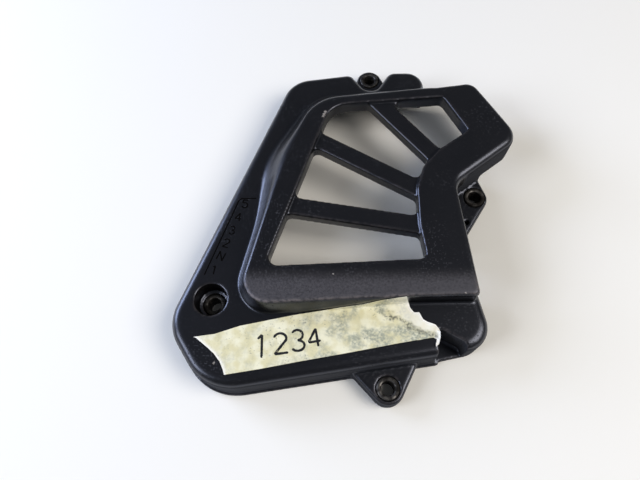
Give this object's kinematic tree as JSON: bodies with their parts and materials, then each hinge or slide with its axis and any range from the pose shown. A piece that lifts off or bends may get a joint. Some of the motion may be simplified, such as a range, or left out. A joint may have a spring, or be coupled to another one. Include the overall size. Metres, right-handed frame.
{
  "type": "motorcycle chain guard",
  "caption": "Moulded two-tier cover for a motorcycle's drive sprocket and chain, with a fan of windows, lugs with steel sleeves for its bolts, and a strip of paper tape.",
  "frame": {"origin": "middle of the cover's footprint, on the flat face that meets the engine", "axes": "+Z outwards from the engine, +X to the motorcycle's rear where the chain leaves, +Y up"},
  "size_m": [0.1724, 0.193, 0.029],
  "materials": {
    "black_nylon": "satin",
    "zinc_plated_steel": "dull",
    "paper_tape": "matt"
  },
  "bodies": {
    "root": {"guard_shell": "black_nylon", "front_sleeve": "zinc_plated_steel", "bottom_sleeve": "zinc_plated_steel", "rear_sleeve": "zinc_plated_steel", "top_sleeve": "zinc_plated_steel", "masking_tape": "paper_tape"}
  },
  "joints": []
}
